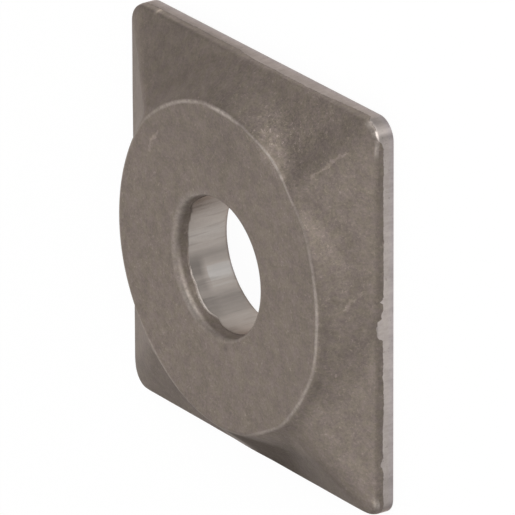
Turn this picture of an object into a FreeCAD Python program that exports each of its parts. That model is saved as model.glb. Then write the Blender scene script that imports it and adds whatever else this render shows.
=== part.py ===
import FreeCAD, Part
import math
import os

# Square pressure plate: one drop forging with a flat back and a sheared rim. Four flat faces
# rise from the rim, a conical wall stands on them and carries a round seat, and a bolt hole is
# pierced through the middle.
# Millimetres. The back lies on z = 0, +Z runs along the bolt hole towards the seat, and the
# sides of the square are parallel to X and Y.

# Square flange, seen along the bolt hole
flange_side = 50.0
flange_corner_radius = 2.6

# Rim of the flange, as heights over the back face
trim_height = 1.5
rim_height = 2.4
rim_draft_degrees = 10.0
rim_edge_radius = 0.3
back_edge_radius = 0.1

# Round seat on its conical wall, which runs down into the four sloping faces
seat_margin = 4.6
seat_height = 7.6
seat_edge_radius = 0.25
seat_wall_degrees = 50.0
seat_foot_radius = 2.2
crease_top_radius = 1.0

# Bolt hole: a drafted recess forged into the seat, and the bore pierced from its floor
bore_diameter = 17.0
recess_depth = 1.75
recess_ledge = 0.1
recess_draft_degrees = 2.0
recess_mouth_radius = 0.3

# How far a cutting tool reaches past the face it enters, and how near a point lies to a face
# that it counts as being on it
tool_reach = 1.0
on_face = 0.001

seat_radius = flange_side / 2 - seat_margin
bore_radius = bore_diameter / 2


def slope(degrees):
    """Rise over run of a line at that angle."""
    return math.tan(math.radians(degrees))


def fillet_rise(radius, degrees):
    """Height that a fillet takes up on a wall that leans at that angle over a level floor."""
    return radius * (1 - math.cos(math.radians(degrees)))


def rim_half_side(height):
    """Half the side of the drafted rim's square at one height."""
    return flange_side / 2 - (height - trim_height) * slope(rim_draft_degrees)


def seat_wall_radius(height):
    """Radius of the seat's conical wall at one height."""
    return seat_radius + (seat_height - height) / slope(seat_wall_degrees)


def rounded_square(half_side, corner_radius, height):
    """Outline of a square with round corners, at one height."""
    level = FreeCAD.Vector(0, 0, height)
    up = FreeCAD.Vector(0, 0, 1)
    straight = half_side - corner_radius
    diagonal = straight + corner_radius / math.sqrt(2)
    edges = []
    for index in range(4):
        outward = FreeCAD.Rotation(up, 90 * index).multVec(FreeCAD.Vector(1, 0, 0))
        along = up.cross(outward)
        side_start = level + outward * half_side - along * straight
        side_end = level + outward * half_side + along * straight
        corner_middle = level + (outward + along) * diagonal
        corner_end = level + outward * straight + along * half_side
        edges.append(Part.LineSegment(side_start, side_end).toShape())
        edges.append(Part.Arc(side_end, corner_middle, corner_end).toShape())
    return Part.Wire(edges)


def sloping_faces():
    """Four flat faces through the rim's edge. Over each corner the crease between two of them
    meets the seat's wall just far enough under the seat for the fillets at its foot and edge."""
    meeting_height = seat_height - fillet_rise(seat_foot_radius + seat_edge_radius, seat_wall_degrees)
    meeting_straight = (seat_wall_radius(meeting_height) - crease_top_radius) / math.sqrt(2)
    meeting_half_side = meeting_straight + crease_top_radius
    rim_edge_half_side = rim_half_side(rim_height)

    def outline(height):
        share = (meeting_height - height) / (meeting_height - rim_height)
        half_side = meeting_half_side + share * (rim_edge_half_side - meeting_half_side)
        corner_radius = crease_top_radius + share * (flange_corner_radius - crease_top_radius)
        return rounded_square(half_side, corner_radius, height)

    return Part.makeLoft([outline(0), outline(seat_height)], True, True)


def edges_where(solid, holds):
    """Edges of a solid with the given test true at every point."""
    return [edge for edge in solid.Edges if all(holds(point) for point in edge.discretize(7))]


def edges_at_height(solid, height):
    """Edges of a solid that lie level at one height."""
    return edges_where(solid, lambda point: abs(point.z - height) < on_face)


def on_seat_wall(point):
    """Whether a point lies on the conical wall, between the back and the seat."""
    between = on_face < point.z < seat_height - on_face
    return between and abs(math.hypot(point.x, point.y) - seat_wall_radius(point.z)) < on_face


def on_rim_wall(point):
    """Whether a point lies on the drafted rim, over the trimmed band."""
    straight = rim_half_side(point.z) - flange_corner_radius
    past_x = max(abs(point.x) - straight, 0)
    past_y = max(abs(point.y) - straight, 0)
    on_outline = abs(math.hypot(past_x, past_y) - flange_corner_radius) < on_face
    return on_outline and point.z > trim_height + on_face


def forged_top():
    """Sloping faces joined to the seat's conical wall by a soft inside corner."""
    wall = Part.makeCone(seat_wall_radius(0), seat_radius, seat_height)
    top = sloping_faces().fuse(wall)
    return top.makeFillet(seat_foot_radius, edges_where(top, on_seat_wall))


def flange():
    """Trimmed band and drafted rim, drawn up past the seat."""
    past_seat = seat_height + tool_reach
    back = rounded_square(flange_side / 2, flange_corner_radius, 0)
    trim = rounded_square(flange_side / 2, flange_corner_radius, trim_height)
    above = rounded_square(rim_half_side(past_seat), flange_corner_radius, past_seat)
    band = Part.Face(back).extrude(FreeCAD.Vector(0, 0, trim_height))
    return band.fuse(Part.makeLoft([trim, above], True, True))


def forged_blank():
    """Solid plate before the hole, with the soft edges that a forging die leaves."""
    blank = flange().common(forged_top()).removeSplitter()
    blank = blank.makeFillet(rim_edge_radius, edges_where(blank, on_rim_wall))
    blank = blank.makeFillet(seat_edge_radius, edges_at_height(blank, seat_height))
    return blank.makeFillet(back_edge_radius, edges_at_height(blank, 0))


def bolt_hole():
    """Cutting tool for the pierced bore and the drafted recess over it."""
    floor_radius = bore_radius + recess_ledge
    mouth_radius = floor_radius + recess_depth * slope(recess_draft_degrees)
    floor = FreeCAD.Vector(0, 0, seat_height - recess_depth)
    bore = Part.makeCylinder(bore_radius, seat_height + 2 * tool_reach, FreeCAD.Vector(0, 0, -tool_reach))
    return bore.fuse(Part.makeCone(floor_radius, mouth_radius, recess_depth, floor))


def pressure_plate():
    """The finished forging."""
    plate = forged_blank().cut(bolt_hole())
    mouth = min(edges_at_height(plate, seat_height), key=lambda edge: edge.Length)
    return plate.makeFillet(recess_mouth_radius, [mouth])


os.makedirs("parts", exist_ok=True)
pressure_plate().exportStep("parts/pressure_plate.step")
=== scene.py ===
from functools import cached_property
import math
import bpy
import numpy as np
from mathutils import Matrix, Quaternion, Vector, noise


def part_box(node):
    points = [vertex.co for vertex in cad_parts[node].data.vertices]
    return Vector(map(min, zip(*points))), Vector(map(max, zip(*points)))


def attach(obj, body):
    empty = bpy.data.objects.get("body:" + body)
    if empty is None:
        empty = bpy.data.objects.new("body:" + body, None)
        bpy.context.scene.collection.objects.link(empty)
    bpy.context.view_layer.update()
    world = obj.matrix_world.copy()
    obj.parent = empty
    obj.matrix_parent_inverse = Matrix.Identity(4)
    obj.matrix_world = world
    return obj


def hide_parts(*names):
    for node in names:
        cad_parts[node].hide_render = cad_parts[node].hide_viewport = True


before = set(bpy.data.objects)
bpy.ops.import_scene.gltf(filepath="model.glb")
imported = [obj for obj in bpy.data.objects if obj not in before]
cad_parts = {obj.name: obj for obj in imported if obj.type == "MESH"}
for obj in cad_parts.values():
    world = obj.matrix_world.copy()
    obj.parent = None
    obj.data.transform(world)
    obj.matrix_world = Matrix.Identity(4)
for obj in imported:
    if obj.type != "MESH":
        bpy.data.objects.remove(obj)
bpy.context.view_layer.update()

# Square pressure plate: one forging, drawn as a fine mesh that keeps the imported solid's form and
# adds what the solid leaves out: the ragged sheared rim, worn edges, marks and the forging skin,
# with painted glints, highlights and shade.
# The mesh is made of rings round the axis, each with one point in every column. Its sizes are in
# millimetres, and azimuths are in degrees from +X towards +Y.

MM = 0.001
plate_low, plate_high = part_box("pressure_plate")

# Form of the plate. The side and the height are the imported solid's, and the other sizes repeat
# those it was made with, apart from these, which follow the photo: the back edge, the height where
# the creases end, the flare of the bore's exit, and the blend of the slopes into the seat's wall,
# which is full by the seat and less by the rim.
SIDE = (plate_high.x - plate_low.x) / MM
HEIGHT = plate_high.z / MM
HALF_SIDE = SIDE / 2
TRIM_HEIGHT = 1.5
RIM_HEIGHT = 2.4
RIM_DRAFT = math.tan(math.radians(10))
BACK_EDGE = 0.12
SEAT_RADIUS = HALF_SIDE - 4.6
SEAT_WALL_SLOPE = math.tan(math.radians(50))
CREASE_TOP_HEIGHT = HEIGHT - 0.6
FOOT_BLEND = 1.2
RIM_BLEND = 0.6
FULL_BLEND_HEIGHT = RIM_HEIGHT + 1.5
BORE_RADIUS = 8.5
LEDGE_HEIGHT = 5.85
RECESS_FLOOR_RADIUS = 8.6
RECESS_MOUTH_RADIUS = 8.66
EXIT_FLARE = 0.28
EXIT_FLARE_HEIGHT = 1.5

# Reach outwards and downwards of the recess's round mouth, where it is sharp and where it is soft.
# It is softest on the side of one azimuth, from where the cosine of the angle to it rises between
# two values, and soft again round the next: azimuth, spread and softness.
SHARP_MOUTH = (0.38, 0.3)
SOFT_MOUTH = (1.0, 0.95)
SOFT_MOUTH_MIDDLE = 195
SOFT_MOUTH_START = (0.2, 0.7)
SOFTER_MOUTH = (265, 28, 0.8)

# Broken upper edge of the bore's ledge, size of the rim's soft edge inwards and downwards as a
# share of its reach, and the least height of the drafted wall under it
LEDGE_BREAK = 0.03
RIM_EDGE_INWARDS = 0.6
RIM_EDGE_DOWNWARDS = 0.7
LEAST_WALL = 0.04

# Past this distance from a middle plane, a point on the outline lies on one of the upright sides
ON_SIDE = HALF_SIDE - 1

# Points less than a margin over the band's upper edge take the band's tone. The other height over
# that edge stands for all points that have nothing to do with it.
BAND_MARGIN = 0.05
FAR_FROM_TRIM = 9.0

# Fineness of the mesh, and the corner radius of the outline along which the columns are spaced
COLUMNS = 640
COLUMN_CORNER = 2.1
BORE_RINGS = 12
RECESS_RINGS = 5
SEAT_RINGS = 16
SLOPE_RINGS = 42
RIM_EDGE_RINGS = 5
WALL_RINGS = 7
BAND_RINGS = 7
BACK_EDGE_RINGS = 3
BACK_RINGS = 9

# Distances from the axis where the rings of the flat seat end, where those of the slopes start, and
# where those of the back end
FLAT_SEAT_END = SEAT_RADIUS - 1.05
SLOPES_START = SEAT_RADIUS + 0.65
BACK_END = BORE_RADIUS + EXIT_FLARE + 0.1

# Rings over the recess's mouth, by how far it has turned over, and rings over the seat's edge, by
# their distance past the seat's radius
MOUTH_TURNS = np.radians((12, 24, 36, 48, 60, 72, 82, 90))
SEAT_EDGE_RINGS = (
    -0.9, -0.75, -0.6, -0.48, -0.36, -0.26, -0.17, -0.08, 0.0, 0.08, 0.16, 0.25, 0.38, 0.5)

# Waves of the sheared band's ragged upper edge, of the bore's wall and of its ledge: size, seed
# and height
TRIM_WAVES = ((1.2, 3, 0.08), (9.0, 4, 0.14))
BORE_WAVES = ((0.7, 8, 0.02),)
LEDGE_WAVES = ((2.5, 6, 0.14),)

# Below, a span of four values rises between the first two and falls between the last two.

# The nick that rises from the band on the +X side, along Y, and the bumps beside it: place along
# Y, reach and rise
NICK_RISE = 0.8
NICK_SPAN = (-2.1, -1.75, 0.3, 0.7)
TRIM_BUMPS = ((-0.5, 0.3, 0.2), (1.0, 0.25, 0.4), (2.75, 0.2, 0.5), (-18.0, 0.45, 0.45))

# The band's high stretch and low stretch on the +Y side, along X, its high stretch round one
# corner, and its swell at the next: azimuth, spread and rise
HIGH_STRETCH_RISE = 0.35
HIGH_STRETCH_SPAN = (-4, 0, 13, 18)
LOW_STRETCH_DROP = 0.3
LOW_STRETCH_START = (17, 22)
HIGH_CORNER_RISE = 0.75
HIGH_CORNER_SPAN = (41.4, 43.3, 47.2, 48.6)
CORNER_SWELL = (135, 4, 0.3)

# Broad patches of the forging skin, a painted highlight by the seat's edge towards +Y and small
# painted glints on the rim near two corners: x, y, reach, and how much lighter or darker
PATCHES = (
    (8.6, 18.8, 1.3, 0.2), (10.2, 17.9, 1.0, 0.45), (11.8, 16.9, 0.8, 0.4),
    (13.4, 21.4, 1.2, 0.15), (14.6, 17.8, 1.6, -0.16), (17.2, 20.0, 2.2, -0.12),
    (20.4, 23.0, 1.8, -0.12), (-16.0, 22.0, 7.0, -0.14), (-8.0, 14.5, 6.0, -0.05),
    (6.0, 18.5, 5.0, -0.05), (-19.8, 24.95, 0.25, 1.4), (1.5, 15.9, 5.0, -0.1),
    (20.3, 5.4, 3.0, -0.12), (21.7, -20.7, 3.0, 0.15), (17.9, -11.3, 1.6, 0.12),
    (21.0, -7.3, 2.5, 0.08), (3.5, -10.5, 4.5, 0.05), (-9.5, -10.5, 4.5, 0.05),
    (1.6, -9.8, 0.4, -0.3), (24.3, -22.6, 0.45, 0.3), (13.1, 15.8, 0.4, 0.5),
    (24.6, -20.2, 0.25, 0.5))

# Stretches where the skin is flecked with more or fewer light grains, which by the seat towards +Y
# also paint a highlight's sparkle: x, y, reach and how much
GRIT_AND_SPARKLE = ((9.0, 20.6, 2.6, 1.0), (13.0, 19.0, 2.4, 0.9), (15.0, 22.6, 3.0, 0.5),
        (-14.0, 22.0, 8.0, -0.5))

# A light squiggle on one crease, a painted highlight along its ridge, and three thin light
# scratches:
# places along each, x and y, then how wide they are, how far and over what length they waver, and
# how much lighter
SCRATCHES_AND_CREASE_HIGHLIGHT = (
    ((16.8, 16.6), (17.9, 17.7), (18.6, 18.1), (19.6, 19.6), (20.6, 20.1), (21.2, 20.8)),
    ((22.4, 1.7), (22.9, 2.9)), ((23.3, 3.6), (23.6, 3.9)),
    ((-12.0, 13.4), (-13.3, 11.9), (-14.0, 10.3)))
LINE_WIDTH = 0.28
LINE_WAVER = 1.1
LINE_WAVER_LENGTH = 0.7
LINE_LIGHTER = 0.42

# Tone of the seat, of the drafted wall over the nicked band and of the next side's wall, with a
# painted reflection that makes it lighter towards one end
SEAT_TONE = 0.04
WALL_TONE = -0.12
NEXT_WALL_TONE = 0.1
NEXT_WALL_LIGHTER = 0.2
NEXT_WALL_LIGHTER_START = (6, 18)

# Arcs of painted shade at the foot of the seat's wall: azimuth, spread, distance past the seat's
# radius, reach and tone. A painted highlight on an arc of the recess's wall: azimuth, spread and
# tone.
FOOT_SHADES = ((-20, 20, 0.6, 0.4, -0.15), (57, 12, 0.5, 0.2, -0.25))
RECESS_LIGHTER = (222, 14, 0.25)

# Painted glints and painted shade on stretches of the sheared band by the corners: azimuth, spread
# and tone
BAND_STRETCHES = (
    (44.3, 0.6, 0.35), (43.0, 0.5, -0.22), (46.6, 1.2, -0.18), (-43.8, 0.8, -0.25),
    (-47.0, 2.0, -0.4))

# How much darker the band is by the ends of its sides, and on the +Y side, which starts and ends at
# these azimuths: all over, and at its top, more towards -X and less towards +X
DARKER_ENDS = 0.2
NEXT_SIDE_SPAN = (45, 47, 135, 140)
NEXT_SIDE_DARKER = 0.15
DARKER_TOP = 0.26
DARKER_TOP_LESS = 0.14
DARKER_TOP_LESS_START = (-4, 2)

# Painted shade on the -Y side under the seat's near edge, where the finish is also rougher: how far
# over the back it starts, where it sets in along -Y, where it is deepest along X, and its reach to
# both sides of that. It is faint elsewhere, and a little less faint towards -X.
SHADE_FOOT = 0.1
SHADE_START = (17.5, 21)
SHADE_MIDDLE = 3
SHADE_REACH_BEFORE = 4.2
SHADE_REACH_AFTER = 13.5
DEEP_SHADE = 0.63
FAINT_SHADE = 0.15
FAINT_SHADE_MORE = 0.1
FAINT_SHADE_MORE_START = (0, 8)

# Streaks of painted shade and light down the bore: azimuth, spread, tone low in the bore and tone
# by the ledge, with a smooth step in height from one to the other. A painted highlight in one patch
# lies below that step.
BORE_SHADE_STREAKS = (
    (142, 12, -0.33, -0.33), (176, 8, 0.03, 0.03), (194, 4, -0.25, -0.30),
    (200, 4, -0.08, -0.40), (207, 5, -0.05, -0.42), (219, 6, -0.10, -0.32),
    (232, 5, -0.30, -0.35), (240, 5, -0.25, -0.30), (247, 4, -0.15, -0.20))
STREAK_STEP = (3.7, 4.6)
BORE_HIGHLIGHT_SPAN = (201, 205, 221, 226)
BORE_HIGHLIGHT_TONE = 0.12

# Colours of the steel where it is forged, sheared and pierced, of the bore's painted highlight, of
# worn edges and painted glints, and the hue of its gloss at a grazing angle
SKIN_OLIVE = (0.150, 0.1265, 0.1035, 1)
SKIN_MAUVE = (0.150, 0.1230, 0.1095, 1)
SHEARED_UPPER = (0.390, 0.347, 0.325, 1)
SHEARED_LOWER = (0.380, 0.340, 0.338, 1)
PIERCED = (0.38, 0.34, 0.31, 1)
BORE_HIGHLIGHT = (0.44, 0.42, 0.405, 1)
WORN_AND_GLINT = (0.44, 0.395, 0.36, 1)
GRAZING_TINT = (0.85, 0.735, 0.67, 1)

# Finish of the forging skin, of bright bare steel and of the rougher stretch under painted shade,
# and how dark that shade is
SKIN_METALLIC = 0.5
BRIGHT_METALLIC = 0.85
SKIN_ROUGHNESS = 0.52
BRIGHT_ROUGHNESS = 0.36
SHADED_ROUGHNESS = 0.85
SHADE_FACTOR = 0.35
PIT_STRENGTH = 0.35
PIT_DEPTH = 0.06

# Floor in metres, which shows nearly white to the camera and in gloss
FLOOR_REACH = 6.0
FLOOR_HEIGHT = -0.0001
FLOOR_WALL_TOP = 0.3
FLOOR_COLOUR = (0.85, 0.85, 0.85, 1)
FLOOR_GLOW = 0.95
WHITE = (1, 1, 1, 1)

# Square lamps, turned to the plate: their size and distance in metres, and for each its name,
# azimuth, elevation, power in watts and colour
LAMP_SIZE = 0.45
LAMP_DISTANCE = 0.5
PLAIN = (1, 1, 1)
WARM = (1.0, 0.95, 0.92)
LAMPS = (
    ("front", 27, 32, 2.0, PLAIN),
    ("low_front", 20, 8, 0.5, PLAIN),
    ("right", 90, 20, 1.6, PLAIN),
    ("near", 270, 60, 1.26, PLAIN),
    ("left", 315, 35, 0.25, PLAIN),
    ("low_left", 300, 10, 0.19, PLAIN),
    ("back", 207, 32, 0.46, PLAIN),
    ("low_back", 180, 20, 0.38, WARM),
    ("high_back", 180, 60, 0.37, PLAIN))

# Camera: where it stands round the origin, what it looks at, its roll and how far it sees, in
# metres and radians, and its lens in millimetres
CAMERA_AZIMUTH = math.radians(27.218)
CAMERA_ELEVATION = math.radians(32.207)
CAMERA_DISTANCE = 1.2041
CAMERA_AIM = Vector((-0.002437, -0.001403, 0.000019))
CAMERA_ROLL = math.radians(105.549)
CAMERA_SIGHT = 20
CAMERA_LENS = 711.4
SENSOR_WIDTH = 36.0


def smooth_max(a, b, width):
    """Larger of two heights, with a soft inside corner of that width."""
    overlap = np.maximum(width - np.abs(a - b), 0)
    return np.maximum(a, b) + overlap * overlap / (4 * width)


def smooth_min(a, b, width):
    """Smaller of two heights, with a soft outside corner of that width."""
    return -smooth_max(-a, -b, width)


def fade(value, low, high):
    """Smooth rise from zero to one between two values."""
    share = np.clip((value - low) / (high - low), 0, 1)
    return share * share * (3 - 2 * share)


def plateau(value, rise_start, rise_end, fall_start, fall_end):
    """Smooth rise from zero to one between two values, and fall to zero between the next two."""
    return fade(value, rise_start, rise_end) * (1 - fade(value, fall_start, fall_end))


def hump(value, middle, reach):
    """One at the middle, fading smoothly to zero over twice the reach or so."""
    return np.exp(-((value - middle) / reach) ** 2)


def relief(points, size, seed):
    """Smooth noise around zero at each point, with bumps of about that size."""
    shift = Vector((seed * 17.3, seed * 5.1, seed * 9.7))
    return np.array([noise.fractal(Vector(point) / size + shift, 0.8, 2.0, 3) for point in points])


def waves(points, layers):
    """Sum of layers of noise at each point."""
    return sum(height * relief(points, size, seed) for size, seed, height in layers)


def column_directions():
    """Directions from the axis, spaced evenly along the flange's outline."""
    straight = HALF_SIDE - COLUMN_CORNER
    side_length = 2 * straight
    corner_length = math.pi / 2 * COLUMN_CORNER
    lengths = (np.arange(COLUMNS) + 0.5) / COLUMNS * 4 * (side_length + corner_length)
    points = []
    for length in lengths:
        quarter, along = divmod(length, side_length + corner_length)
        if along < side_length:
            point = complex(HALF_SIDE, along - straight)
        else:
            turn = (along - side_length) / COLUMN_CORNER
            round_corner = COLUMN_CORNER * complex(math.cos(turn), math.sin(turn))
            point = complex(straight, straight) + round_corner
        points.append(point * 1j ** quarter)
    points = np.array(points)
    return points / np.abs(points)


DIRECTIONS = column_directions()
AZIMUTHS = np.degrees(np.angle(DIRECTIONS))


def around(azimuth, spread):
    """One at an azimuth, fading over that spread to both sides, along the columns."""
    apart = (AZIMUTHS - azimuth + 180) % 360 - 180
    return hump(apart, 0, spread)


def varied(base, *swells):
    """A value that differs from column to column: its base, and swells round the axis, each with
    its azimuth, spread and height."""
    return base + sum(height * around(azimuth, spread) for azimuth, spread, height in swells)


# Round corners of the outline and of the creases over them, which differ from corner to corner
CORNER_RADII = varied(2.15, (45, 20, 0.5), (135, 20, 0.6))
CREASE_TOP_RADII = varied(1.2, (45, 30, -0.9), (135, 25, -0.5), (-45, 25, 3.5))
CREASE_RIM_RADII = varied(3.5, (45, 25, -0.1), (135, 25, -1.2), (-45, 25, -0.5))

# The rim's soft edge: its reach, its height, with a little more in the middle of one side, and its
# painted glints by the corners, in worn metal's colour
RIM_EDGES = varied(0.45, (45.5, 3, 0.3), (-45, 4, 0.3))
RIM_HEIGHTS = varied(RIM_HEIGHT, (-88, 32, 0.1))
CORNER_GLINTS = varied(0, (44.2, 0.8, 0.75), (46.4, 0.8, 0.6), (41.5, 1.2, 0.5), (-43.0, 0.8, 0.7))

# By the top of one crease a flat face lies this much further out, less and less between two
# distances from the axis
DRAWN_OUT = varied(0, (138, 12, 0.6))
DRAWN_OUT_SPAN = (23, 30)

# How worn the seat's edge is, and how wide its rounding
SEAT_WEAR = (
    (4, 20, 0.5), (86, 10, 0.75), (57, 16, 0.9), (-36, 16, 0.3), (-62, 10, 0.3), (113, 22, 0.45),
    (180, 60, 0.2), (-130, 22, 0.35))
SEAT_WORN = np.max([varied(0, wear) for wear in SEAT_WEAR], axis=0)
SEAT_BLEND = varied(0.35, (195, 18, -0.25), (155, 10, 0.15)) + 0.1 * SEAT_WORN

# The worn line of the seat's edge: its middle, from the seat's radius, its reach to both sides and
# its strength. On the scraped arc it is narrow and lies further out.
SCRAPED = around(57, 16)
WORN_LINE_MIDDLE = 0.03 - 0.32 * fade(SEAT_WORN, 0, 0.45) + 0.37 * SCRAPED
WORN_LINE_REACH = 0.2 + 0.2 * SEAT_WORN - 0.24 * SCRAPED
WORN_LINE_STRENGTH = 0.12 + 0.88 * SEAT_WORN

# Ledge of the bore: its height, the rise across it to the recess's wall, and a painted highlight
# along its edge
LEDGE_HEIGHTS = varied(LEDGE_HEIGHT, (250, 6, -0.35), (136, 12, 0.9))
LEDGE_RISES = varied(0.06, (229, 14, 0.24), (160, 35, 0.2))
LEDGE_HIGHLIGHT = np.minimum(varied(0, (205, 7, 0.6), (231, 15, 1.0)), 1)

# How worn the recess's mouth is half way round its rounding, with a painted highlight at one
# azimuth, and a painted highlight at its outer lip
MOUTH_WEAR_AND_HIGHLIGHT = varied(0.2, (228, 14, 0.25))
LIP_HIGHLIGHT = varied(0, (125, 25, 0.2))


def rim_half_side(height):
    """Half the side of the drafted rim's square at one height."""
    return HALF_SIDE - (height - TRIM_HEIGHT) * RIM_DRAFT


def outline_radius(inset):
    """Distance from the axis to the flange's outline, drawn in by so much, along the columns."""
    half_side = HALF_SIDE - inset
    corner_radius = CORNER_RADII - inset
    wide = np.maximum(np.abs(DIRECTIONS.real), np.abs(DIRECTIONS.imag))
    narrow = np.minimum(np.abs(DIRECTIONS.real), np.abs(DIRECTIONS.imag))
    straight = half_side - corner_radius
    to_side = half_side / wide
    reach = straight * (wide + narrow)
    under_root = reach ** 2 - 2 * straight ** 2 + corner_radius ** 2
    to_corner = reach + np.sqrt(np.maximum(under_root, 0))
    return np.where(to_side * narrow > straight, to_corner, to_side)


def planes_height(x, y):
    """Height of the four flat faces, whose creases are rounded less and less towards the seat. At
    each height their outline is a round square, and a point's share of the way down to the rim is
    that of the outline it lies on. In a corner it is a root of a * s * s - 2 * b * s + c = 0."""
    seat_reach = SEAT_RADIUS + (HEIGHT - CREASE_TOP_HEIGHT) / SEAT_WALL_SLOPE
    top_straight = (seat_reach - CREASE_TOP_RADII) / math.sqrt(2)
    grow_straight = rim_half_side(RIM_HEIGHT) - CREASE_RIM_RADII - top_straight
    grow_radius = CREASE_RIM_RADII - CREASE_TOP_RADII
    x_reach = np.abs(x) - DRAWN_OUT * (1 - fade(np.hypot(x, y), *DRAWN_OUT_SPAN))
    far = np.maximum(x_reach, np.abs(y))
    near = np.minimum(x_reach, np.abs(y))
    on_side = (far - top_straight - CREASE_TOP_RADII) / (grow_straight + grow_radius)
    a = 2 * grow_straight ** 2 - grow_radius ** 2
    b = grow_straight * (far + near - 2 * top_straight) + CREASE_TOP_RADII * grow_radius
    c = (far - top_straight) ** 2 + (near - top_straight) ** 2 - CREASE_TOP_RADII ** 2
    on_corner = (b - np.sqrt(np.maximum(b * b - a * c, 0))) / a
    in_corner = near > top_straight + on_side * grow_straight
    share = np.where(in_corner, on_corner, on_side)
    return CREASE_TOP_HEIGHT - share * (CREASE_TOP_HEIGHT - RIM_HEIGHTS)


def top_height(x, y):
    """Height of the forged top: flat seat, conical wall and sloping faces."""
    cone = HEIGHT + (SEAT_RADIUS - np.hypot(x, y)) * SEAT_WALL_SLOPE
    planes = planes_height(x, y)
    towards_seat = fade(planes, RIM_HEIGHT, FULL_BLEND_HEIGHT)
    slopes = smooth_max(planes, cone, RIM_BLEND + (FOOT_BLEND - RIM_BLEND) * towards_seat)
    return smooth_min(slopes, np.full_like(slopes, HEIGHT), SEAT_BLEND)


def ring(radius, height):
    """One ring of points, from its distances to the axis and its heights along the columns."""
    radius = np.broadcast_to(radius, COLUMNS)
    height = np.broadcast_to(height, COLUMNS)
    return np.stack([DIRECTIONS.real * radius, DIRECTIONS.imag * radius, height], 1)


def top_ring(radius):
    """Ring on the forged top at those distances from the axis."""
    flat = ring(radius, 0)
    flat[:, 2] = top_height(flat[:, 0], flat[:, 1])
    return flat


def rounded(start, corner, end, steps):
    """Rings of a round edge between two rings, pulled towards the sharp corner's ring."""
    shares = [(step + 1) / (steps + 1) for step in range(steps)]
    return [(1 - s) ** 2 * start + 2 * s * (1 - s) * corner + s * s * end for s in shares]


def trim_line():
    """Height of the sheared band's ragged upper edge along the columns."""
    outline = ring(outline_radius(0), TRIM_HEIGHT)
    x, y = outline[:, 0], outline[:, 1]
    nick = NICK_RISE * plateau(y, *NICK_SPAN)
    bumps = sum(rise * hump(y, middle, reach) for middle, reach, rise in TRIM_BUMPS)
    high = HIGH_STRETCH_RISE * plateau(x, *HIGH_STRETCH_SPAN)
    low = LOW_STRETCH_DROP * fade(x, *LOW_STRETCH_START)
    sides = np.where(x > ON_SIDE, nick + bumps, 0) + np.where(y > ON_SIDE, high - low, 0)
    corners = varied(HIGH_CORNER_RISE * plateau(AZIMUTHS, *HIGH_CORNER_SPAN), CORNER_SWELL)
    return TRIM_HEIGHT + waves(outline, TRIM_WAVES) + sides + corners


def wall_reach(height, trim):
    """Distance from the axis to the drafted rim over the trim line, at a height in each column."""
    inset = np.maximum(height - np.maximum(trim, TRIM_HEIGHT), 0) * RIM_DRAFT
    return outline_radius(inset)


def mouth_round():
    """How far the recess's round mouth reaches outwards and down."""
    towards_middle = np.cos(np.radians(AZIMUTHS - SOFT_MOUTH_MIDDLE))
    softness = np.maximum(fade(towards_middle, *SOFT_MOUTH_START), varied(0, SOFTER_MOUTH))
    return [sharp + (soft - sharp) * softness for sharp, soft in zip(SHARP_MOUTH, SOFT_MOUTH)]


class Rings:
    """Rings of the whole surface in order, each with its marks for the material: whether it is in
    the bore, how bright its edge is, for wear and painted glints and highlights, and how far it
    lies over the trim line."""

    def __init__(self):
        self.points = []
        self.marks = {"bore": [], "edge": [], "trim_gap": []}

    def add(self, points, bore=0.0, edge=0.0, trim_gap=FAR_FROM_TRIM):
        self.points.append(points)
        for name, value in (("bore", bore), ("edge", edge), ("trim_gap", trim_gap)):
            self.marks[name].append(np.broadcast_to(value, COLUMNS))


def add_bore(rings):
    """Pierced bore from the back up to its ledge, scored along its length. Its last two rings lie
    close together, so that the ledge's edge is crisp."""
    wall = ring(BORE_RADIUS, 0)
    scores = waves(wall, BORE_WAVES)
    ledge = LEDGE_HEIGHTS + waves(wall, LEDGE_WAVES)
    for share in np.append(np.linspace(0, 0.98, BORE_RINGS), 1):
        height = share * ledge
        flare = EXIT_FLARE * np.maximum(0, 1 - height / EXIT_FLARE_HEIGHT) ** 2
        rings.add(ring(BORE_RADIUS + flare + scores, height), bore=1.0)
    # The ledge's broken edge and the ring beside it carry a painted highlight, in the bore's and
    # worn metal's colours
    lip = ring(BORE_RADIUS + LEDGE_BREAK + scores, ledge + LEDGE_BREAK)
    rings.add(lip, bore=LEDGE_HIGHLIGHT, edge=LEDGE_HIGHLIGHT)
    floor = ledge + LEDGE_RISES
    rings.add(ring(RECESS_FLOOR_RADIUS, floor), edge=0.7 * LEDGE_HIGHLIGHT)
    return floor


def add_recess(rings, floor):
    """Drafted recess over the bore's ledge, and its round mouth."""
    reach, depth = mouth_round()
    for share in np.linspace(0.15, 1, RECESS_RINGS):
        radius = RECESS_FLOOR_RADIUS + share * (RECESS_MOUTH_RADIUS - RECESS_FLOOR_RADIUS)
        rings.add(ring(radius, floor + share * (HEIGHT - depth - floor)))
    for turn in MOUTH_TURNS:
        radius = RECESS_MOUTH_RADIUS + reach * (1 - math.cos(turn))
        height = HEIGHT - depth * (1 - math.sin(turn))
        # Mouth wear, with a painted highlight at one azimuth and on the outer lip
        bright_edge = MOUTH_WEAR_AND_HIGHLIGHT * math.sin(2 * turn) + LIP_HIGHLIGHT * math.sin(turn) ** 6
        rings.add(ring(radius, height), edge=bright_edge)
    return RECESS_MOUTH_RADIUS + reach


def add_seat(rings, start):
    """Flat seat and its worn edge."""
    for share in np.linspace(0.06, 1, SEAT_RINGS):
        rings.add(top_ring(start + share * (FLAT_SEAT_END - start)))
    for offset in SEAT_EDGE_RINGS:
        from_middle = np.abs(offset - WORN_LINE_MIDDLE) / WORN_LINE_REACH
        bright_edge = np.maximum(1 - from_middle, 0) ** 0.5 * WORN_LINE_STRENGTH
        rings.add(top_ring(SEAT_RADIUS + offset), edge=bright_edge)


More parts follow.
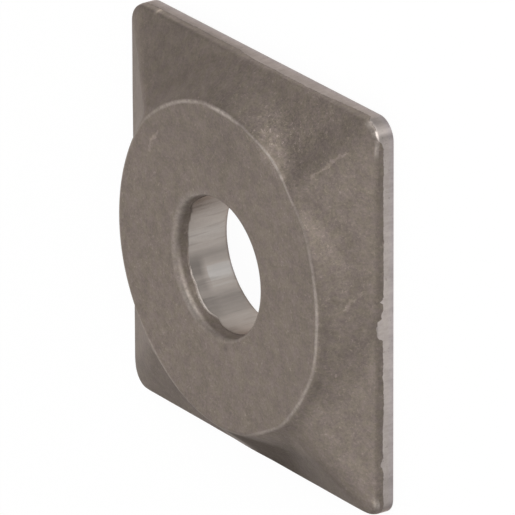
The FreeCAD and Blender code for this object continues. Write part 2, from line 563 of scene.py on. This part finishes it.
def add_slopes(rings, trim, rim_reach):
    """Sloping faces, out to the start of the rim's soft edge."""
    for share in np.linspace(0, 1, SLOPE_RINGS):
        points = top_ring(SLOPES_START + share * (rim_reach - RIM_EDGES - SLOPES_START))
        rings.add(points, trim_gap=points[:, 2] - trim)


def add_rim_edge(rings, trim, rim_reach):
    """The rim's soft edge over the drafted wall."""
    sharp_edge = top_ring(rim_reach)
    inner_edge = top_ring(rim_reach - RIM_EDGES * RIM_EDGE_INWARDS)
    wall_top = sharp_edge[:, 2] - RIM_EDGES * RIM_EDGE_DOWNWARDS
    outer_edge = ring(wall_reach(wall_top, trim), wall_top)
    # The soft edge carries painted glints by the corners, in worn metal's colour
    for points in rounded(inner_edge, sharp_edge, outer_edge, RIM_EDGE_RINGS):
        rings.add(points, edge=CORNER_GLINTS, trim_gap=points[:, 2] - trim)
    return wall_top


def add_wall(rings, trim, wall_top):
    """Drafted wall from the rim's edge down to the trim line, or just under its own top where that
    line is higher."""
    wall_foot = np.minimum(trim, wall_top - LEAST_WALL)
    for share in np.linspace(0, 1, WALL_RINGS):
        height = wall_top + share * (wall_foot - wall_top)
        rings.add(ring(wall_reach(height, trim), height), trim_gap=height - trim)
    return wall_foot


def add_band(rings, trim, wall_foot):
    """Sheared band under the trim line, and the broken edge of the back."""
    band_reach = outline_radius(0)
    for share in np.linspace(0.12, 1, BAND_RINGS):
        height = wall_foot + share * (BACK_EDGE - wall_foot)
        rings.add(ring(band_reach, height), trim_gap=height - trim)
    edge_top = ring(band_reach, BACK_EDGE)
    sharp_edge = ring(band_reach, 0)
    edge_foot = ring(outline_radius(BACK_EDGE), 0)
    for points in rounded(edge_top, sharp_edge, edge_foot, BACK_EDGE_RINGS):
        rings.add(points, trim_gap=-TRIM_HEIGHT)


def add_back(rings):
    """Flat back, from its edge to the bore's flared exit."""
    start = outline_radius(BACK_EDGE)
    for share in np.linspace(0, 1, BACK_RINGS):
        rings.add(ring(start + share * (BACK_END - start), 0))


def plate_rings():
    """The whole surface: up the bore, over the top, down the rim and back under the plate."""
    rings = Rings()
    floor = add_bore(rings)
    seat_start = add_recess(rings, floor)
    add_seat(rings, seat_start)
    trim = trim_line()
    near_rim = top_ring(wall_reach(RIM_HEIGHT, trim))
    rim_reach = wall_reach(near_rim[:, 2], trim)
    add_slopes(rings, trim, rim_reach)
    wall_top = add_rim_edge(rings, trim, rim_reach)
    wall_foot = add_wall(rings, trim, wall_top)
    add_band(rings, trim, wall_foot)
    add_back(rings)
    return rings


def patched(points, patches):
    """Sum of soft round patches, each with its place, reach and strength, seen from above."""
    x, y = points[:, 0], points[:, 1]
    return sum(strength * np.exp(-((x - left) ** 2 + (y - up) ** 2) / reach ** 2)
               for left, up, reach, strength in patches)


def skin_tone(points, trim_gap):
    """How much lighter or darker the forging skin is, with painted shade, highlights, reflection
    and glints.
    """
    x, y, z = points.T
    radius = np.hypot(x, y)
    seat = SEAT_TONE * fade(z, HEIGHT - 0.2, HEIGHT)
    foot = sum(tone * around(azimuth, spread) * hump(radius, SEAT_RADIUS + past, reach)
               for azimuth, spread, past, reach, tone in FOOT_SHADES)
    in_recess = fade(HEIGHT - z, 0.2, 0.6) * (radius < BORE_RADIUS + 1)
    recess = varied(0, RECESS_LIGHTER) * in_recess
    next_wall = NEXT_WALL_TONE + NEXT_WALL_LIGHTER * fade(-x, *NEXT_WALL_LIGHTER_START)
    wall = np.where(x > ON_SIDE, WALL_TONE, np.where(y > ON_SIDE, next_wall, 0))
    on_wall = 1 - fade(trim_gap, 0.5, 0.8)
    return seat + foot + recess + wall * on_wall + patched(points, PATCHES)


def band_tone(points):
    """The same for the sheared band, with painted glints and shade by the corners."""
    x, y, z = points.T
    next_side = plateau(AZIMUTHS, *NEXT_SIDE_SPAN)
    darker_ends = DARKER_ENDS * (y / HALF_SIDE) ** 2
    darker_top = DARKER_TOP - DARKER_TOP_LESS * fade(x, *DARKER_TOP_LESS_START)
    darker_next = NEXT_SIDE_DARKER + darker_top * fade(z, 0.4, TRIM_HEIGHT)
    darker = (1 - next_side) * darker_ends + next_side * darker_next
    return varied(-darker, *BAND_STRETCHES)


def bore_tone(points):
    """The same for the pierced bore, with painted shade and highlights in streaks that change with
    height.
    """
    high = fade(points[:, 2], *STREAK_STEP)
    highlight = plateau(AZIMUTHS % 360, *BORE_HIGHLIGHT_SPAN) * (1 - high)
    shade_streaks = sum(around(azimuth, spread) * (low_tone + (high_tone - low_tone) * high)
                  for azimuth, spread, low_tone, high_tone in BORE_SHADE_STREAKS)
    return BORE_HIGHLIGHT_TONE * highlight + shade_streaks


def painted_shade_under_seat(points):
    """Share of painted shade, under which the finish is also rougher; it lies under the seat's near
    edge and faintly beside it.
    """
    x, y, z = points.T
    between_faces = (z > SHADE_FOOT) * (1 - fade(z, HEIGHT - 0.35, HEIGHT - 0.05))
    reach = np.where(x > SHADE_MIDDLE, SHADE_REACH_AFTER, SHADE_REACH_BEFORE)
    deep = DEEP_SHADE * hump(x, SHADE_MIDDLE, reach)
    faint = FAINT_SHADE + FAINT_SHADE_MORE * fade(-x, *FAINT_SHADE_MORE_START)
    return between_faces * fade(-y, *SHADE_START) * (faint + deep)


def all_marks(rings):
    """The rings' marks, with tone, painted shade under the seat, and grit and sparkle for every
    point added.
    """
    marks = {**rings.marks, "tone": [], "shade_under_seat": [], "grit_and_sparkle": []}
    for points, bore, gap in zip(rings.points, rings.marks["bore"], rings.marks["trim_gap"]):
        over_band = bore_tone(points) if bore.any() else skin_tone(points, gap)
        marks["tone"].append(np.where(gap < BAND_MARGIN, band_tone(points), over_band))
        marks["shade_under_seat"].append(painted_shade_under_seat(points))
        marks["grit_and_sparkle"].append(patched(points, GRIT_AND_SPARKLE))
    return marks


def forging_mesh():
    """Closed mesh of the plate, with its marks kept as attributes for the material."""
    rings = plate_rings()
    count = len(rings.points)
    grid = np.arange(count * COLUMNS).reshape(count, COLUMNS)
    after = np.roll(grid, -1, axis=0)
    corners = (after, np.roll(after, -1, axis=1), np.roll(grid, -1, axis=1), grid)
    quads = np.stack(corners, -1).reshape(-1, 4)
    mesh = bpy.data.meshes.new("forging")
    mesh.from_pydata((np.concatenate(rings.points) * MM).tolist(), [], quads.tolist())
    mesh.validate()
    for name, values in all_marks(rings).items():
        layer = mesh.attributes.new(name, "FLOAT", "POINT")
        layer.data.foreach_set("value", np.concatenate(values).astype(np.float32))
    mesh.polygons.foreach_set("use_smooth", [True] * len(mesh.polygons))
    return mesh


class Tree:
    """Short forms for building a node tree. Sizes are in millimetres."""

    def __init__(self, owner):
        owner.use_nodes = True
        self.tree = owner.node_tree
        self.tree.nodes.clear()

    @cached_property
    def place(self):
        """Place on the object, in metres."""
        return self.add("ShaderNodeTexCoord").outputs["Object"]

    def add(self, kind, inputs=None, **settings):
        node = self.tree.nodes.new(kind)
        for name, value in settings.items():
            setattr(node, name, value)
        for name, value in (inputs or {}).items():
            self.feed(node.inputs[name], value)
        return node

    def feed(self, socket, value):
        if isinstance(value, bpy.types.NodeSocket):
            self.tree.links.new(value, socket)
        else:
            socket.default_value = value

    def attribute(self, name):
        return self.add("ShaderNodeAttribute", attribute_name=name).outputs["Fac"]

    def math(self, operation, first, second=0.0):
        return self.add("ShaderNodeMath", {0: first, 1: second}, operation=operation).outputs[0]

    def plus(self, first, second):
        return self.math("ADD", first, second)

    def minus(self, first, second):
        return self.math("SUBTRACT", first, second)

    def times(self, first, second):
        return self.math("MULTIPLY", first, second)

    def larger(self, first, second):
        return self.math("MAXIMUM", first, second)

    def vector(self, operation, first, second):
        return self.add("ShaderNodeVectorMath", {0: first, 1: second}, operation=operation)

    def noise(self, size, detail=3.0, roughness=0.55, distortion=0.0, stretch=1.0):
        """Noise around 0.5, with features of about that size, drawn out along Z."""
        place = self.vector("MULTIPLY", self.place, (1, 1, 1 / stretch)).outputs[0]
        settings = {"Vector": place, "Scale": 1 / (size * MM), "Detail": detail,
                    "Roughness": roughness, "Distortion": distortion}
        return self.add("ShaderNodeTexNoise", settings).outputs["Fac"]

    def span(self, value, low, high, to_low=0.0, to_high=1.0):
        """Smooth step of a value from one span to another."""
        settings = {"Value": value, "From Min": low, "From Max": high,
                    "To Min": to_low, "To Max": to_high}
        step = self.add("ShaderNodeMapRange", settings, interpolation_type="SMOOTHSTEP")
        return step.outputs[0]

    def mix(self, share, first, second, blend="MIX"):
        node = self.add("ShaderNodeMix", data_type="RGBA", blend_type=blend)
        for index, value in ((0, share), (6, first), (7, second)):
            self.feed(node.inputs[index], value)
        return node.outputs[2]

    def shaded(self, colour, shade):
        """A colour made lighter or darker by that factor."""
        grey = self.add("ShaderNodeCombineColor", {0: shade, 1: shade, 2: shade}).outputs[0]
        return self.mix(1.0, colour, grey, "MULTIPLY")

    def stroke(self, place, start, end, width):
        """One along a thin straight mark seen from above, zero past its width."""
        start, end = Vector((*start, 0)) * MM, Vector((*end, 0)) * MM
        along = (end - start).normalized()
        across = (-along.y, along.x, 0)
        offset = self.vector("SUBTRACT", place, (start + end) / 2).outputs[0]
        run = self.vector("DOT_PRODUCT", offset, along).outputs["Value"]
        aside = self.vector("DOT_PRODUCT", offset, across).outputs["Value"]
        half_length = (end - start).length / 2
        past_end = self.larger(self.minus(self.math("ABSOLUTE", run), half_length), 0.0)
        away = self.plus(self.math("ABSOLUTE", aside), past_end)
        return self.span(away, 0.2 * width * MM, width * MM, 1.0, 0.0)


def scratch_and_highlight_lines(t):
    """One along the crease's painted highlight and the scratches, which waver a little, else zero.
    """
    settings = {"Vector": t.place, "Scale": 1 / (LINE_WAVER_LENGTH * MM), "Detail": 3.0}
    waver = t.add("ShaderNodeTexNoise", settings).outputs["Color"]
    waver = t.vector("SUBTRACT", waver, (0.5, 0.5, 0.5)).outputs[0]
    settings = {0: waver, "Scale": LINE_WAVER * MM}
    waver = t.add("ShaderNodeVectorMath", settings, operation="SCALE")
    place = t.vector("ADD", t.place, waver.outputs[0]).outputs[0]
    whole = 0.0
    for line in SCRATCHES_AND_CREASE_HIGHLIGHT:
        for start, end in zip(line, line[1:]):
            whole = t.larger(whole, t.stroke(place, start, end, LINE_WIDTH))
    return whole


def forging_skin(t):
    """Grey-brown forging skin with its blotches, grain, light flecks, scratches and a painted
    highlight along one crease; by the seat the flecks also paint sparkle.
    """
    hue = t.span(t.noise(1.0, detail=4), 0.35, 0.65)
    grit_and_sparkle = t.attribute("grit_and_sparkle")
    blotch = t.span(t.noise(1.6, detail=4, roughness=0.6), 0.3, 0.7, 0.9, 1.1)
    grain_noise = t.minus(t.noise(0.36, detail=4, roughness=0.8), 0.5)
    grain = t.plus(t.times(grain_noise, t.span(grit_and_sparkle, -0.5, 1.0, 0.9, 1.8)), 1.0)
    fleck_noise = t.noise(0.4, detail=2, roughness=0.5, distortion=1.5)
    fleck_strength = t.span(grit_and_sparkle, -0.5, 1.0, 0.2, 0.75)
    flecks = t.plus(t.times(t.span(fleck_noise, 0.6, 0.72), fleck_strength), 1.0)
    lighter_lines = t.plus(t.times(scratch_and_highlight_lines(t), LINE_LIGHTER), 1.0)
    shade = t.times(t.times(blotch, grain), t.times(flecks, lighter_lines))
    return t.shaded(t.mix(hue, SKIN_OLIVE, SKIN_MAUVE), shade)


def sheared_share(t):
    """One on the sheared band, up to its ragged upper edge, else zero."""
    ragged = t.span(t.noise(0.5, detail=4, roughness=0.7), 0.2, 0.8, -0.08, 0.08)
    return t.span(t.plus(t.attribute("trim_gap"), ragged), -0.03, 0.03, 1.0, 0.0)


def sheared_metal(t):
    """Bright band of the rim, with torn grain across it and dark specks."""
    height = t.add("ShaderNodeSeparateXYZ", {0: t.place}).outputs["Z"]
    metal = t.mix(t.span(height, 0.2 * MM, 1.0 * MM), SHEARED_LOWER, SHEARED_UPPER)
    broad = t.span(t.noise(2.2), 0.3, 0.7, 0.92, 1.08)
    fine = t.span(t.noise(0.3), 0.2, 0.8, 0.94, 1.06)
    specks = t.span(t.noise(0.35, detail=1), 0.68, 0.74, 1.0, 0.8)
    torn = t.span(t.noise(0.4, stretch=6), 0.3, 0.7, 0.94, 1.06)
    return t.shaded(metal, t.times(t.times(broad, fine), t.times(specks, torn)))


def pierced_metal(t):
    """Bright wall of the bore, drawn and scored along its length, with a painted highlight in one
    patch.
    """
    metal = t.mix(t.span(t.attribute("tone"), 0.0, 0.1), PIERCED, BORE_HIGHLIGHT)
    drawn = t.span(t.noise(0.35, detail=4, roughness=0.6, stretch=10), 0.3, 0.7, 0.95, 1.05)
    scored = t.span(t.noise(0.8, roughness=0.5, stretch=12), 0.6, 0.66, 1.0, 0.88)
    return t.shaded(metal, t.times(drawn, scored))


def pitted(t):
    """Bump of the skin's fine pits and broader waves."""
    height = t.plus(t.noise(0.22, detail=4, roughness=0.7), t.times(t.noise(0.9), 2.0))
    settings = {"Strength": PIT_STRENGTH, "Distance": PIT_DEPTH * MM, "Height": height}
    return t.add("ShaderNodeBump", settings).outputs[0]


def forged_steel():
    """Forging skin, bright where the rim was sheared, the bore pierced or an edge worn, and where
    glints and highlights are painted.
    """
    material = bpy.data.materials.new("forged_steel")
    t = Tree(material)
    sheared = sheared_share(t)
    bore = t.span(t.attribute("bore"), 0.4, 0.6)
    patchy = t.span(t.noise(0.55, detail=4, roughness=0.75), 0.35, 0.6, 0.4, 1.0)
    # Worn edges, and painted glints and highlights, take worn metal's colour
    bright_edge = t.times(t.attribute("edge"), patchy)
    # Painted shade darkens the colour under the seat's near edge, where the finish is also rougher
    shade_under_seat = t.attribute("shade_under_seat")

    colour = t.mix(sheared, forging_skin(t), sheared_metal(t))
    colour = t.mix(bore, colour, pierced_metal(t))
    colour = t.mix(bright_edge, colour, WORN_AND_GLINT)
    toned = t.plus(t.attribute("tone"), 1.0)
    colour = t.shaded(colour, t.times(toned, t.span(shade_under_seat, 0, 1, 1.0, SHADE_FACTOR)))

    bright = t.larger(sheared, t.larger(bore, bright_edge))
    metallic = t.larger(t.span(bright, 0, 1, SKIN_METALLIC, BRIGHT_METALLIC), shade_under_seat)
    roughness = t.larger(t.span(bright, 0, 1, SKIN_ROUGHNESS, BRIGHT_ROUGHNESS),
                         t.span(shade_under_seat, 0, 1, 0.0, SHADED_ROUGHNESS))
    shader = t.add("ShaderNodeBsdfPrincipled", {
        "Base Color": colour, "Metallic": metallic, "Roughness": roughness,
        "Normal": pitted(t), "Specular Tint": GRAZING_TINT})
    t.add("ShaderNodeOutputMaterial", {"Surface": shader.outputs[0]})
    return material


def pressure_plate():
    """The plate's piece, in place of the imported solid."""
    plate = bpy.data.objects.new("forged_pressure_plate", forging_mesh())
    bpy.context.scene.collection.objects.link(plate)
    plate.data.materials.append(forged_steel())
    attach(plate, "root")
    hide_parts("pressure_plate")


def pale_floor():
    """Pale material that keeps a shadow, and glows white where a camera, glossy or transmission
    ray looks."""
    material = bpy.data.materials.new("pale_floor")
    t = Tree(material)
    path = t.add("ShaderNodeLightPath").outputs
    seen = t.larger(path["Is Camera Ray"], path["Is Glossy Ray"])
    seen = t.larger(seen, path["Is Transmission Ray"])
    lit = t.add("ShaderNodeBsdfDiffuse", {"Color": FLOOR_COLOUR}).outputs[0]
    glow = t.add("ShaderNodeEmission", {"Color": WHITE, "Strength": 1.0}).outputs[0]
    mixed = t.add("ShaderNodeMixShader", {0: t.times(seen, FLOOR_GLOW), 1: lit, 2: glow})
    t.add("ShaderNodeOutputMaterial", {"Surface": mixed.outputs[0]})
    return material


def floor():
    """Plain floor just under the plate, with a low wall far round it."""
    square = [(-FLOOR_REACH, -FLOOR_REACH), (FLOOR_REACH, -FLOOR_REACH),
              (FLOOR_REACH, FLOOR_REACH), (-FLOOR_REACH, FLOOR_REACH)]
    corners = [(x, y, z) for z in (FLOOR_HEIGHT, FLOOR_WALL_TOP) for x, y in square]
    walls = [(side, (side + 1) % 4, (side + 1) % 4 + 4, side + 4) for side in range(4)]
    mesh = bpy.data.meshes.new("floor")
    mesh.from_pydata(corners, [], [(0, 1, 2, 3)] + walls)
    ground = bpy.data.objects.new("floor", mesh)
    ground.data.materials.append(pale_floor())
    bpy.context.scene.collection.objects.link(ground)


def studio_world():
    """Dark surroundings, so that only the lamps and the floor light the plate."""
    world = bpy.data.worlds.new("studio")
    bpy.context.scene.world = world
    t = Tree(world)
    dark = t.add("ShaderNodeBackground", {"Color": WHITE, "Strength": 0.0}).outputs[0]
    t.add("ShaderNodeOutputWorld", {"Surface": dark})


def direction(azimuth, elevation):
    """Unit vector from the origin, for angles in radians."""
    level = math.cos(elevation)
    return Vector((level * math.cos(azimuth), level * math.sin(azimuth), math.sin(elevation)))


def lamp(name, azimuth, elevation, power, colour):
    """Soft lamp beside the plate, turned to it."""
    data = bpy.data.lights.new(name, "AREA")
    data.shape = "SQUARE"
    data.size = LAMP_SIZE
    data.energy = power
    data.color = colour
    light = bpy.data.objects.new(name, data)
    light.location = LAMP_DISTANCE * direction(math.radians(azimuth), math.radians(elevation))
    light.rotation_euler = (-light.location).to_track_quat("-Z", "Y").to_euler()
    bpy.context.scene.collection.objects.link(light)


def camera():
    """Long lens that looks down on the plate, rolled as the plate is shown."""
    data = bpy.data.cameras.new("camera")
    data.lens = CAMERA_LENS
    data.sensor_width = SENSOR_WIDTH
    data.clip_end = CAMERA_SIGHT
    view = bpy.data.objects.new("camera", data)
    view.location = CAMERA_DISTANCE * direction(CAMERA_AZIMUTH, CAMERA_ELEVATION)
    upright = (CAMERA_AIM - view.location).to_track_quat("-Z", "Y")
    turned = upright @ Quaternion((0, 0, 1), -CAMERA_ROLL)
    view.rotation_euler = turned.to_euler()
    bpy.context.scene.collection.objects.link(view)
    bpy.context.scene.camera = view


pressure_plate()
floor()
studio_world()
for lamp_settings in LAMPS:
    lamp(*lamp_settings)
camera()
bpy.context.scene.view_settings.view_transform = "Standard"
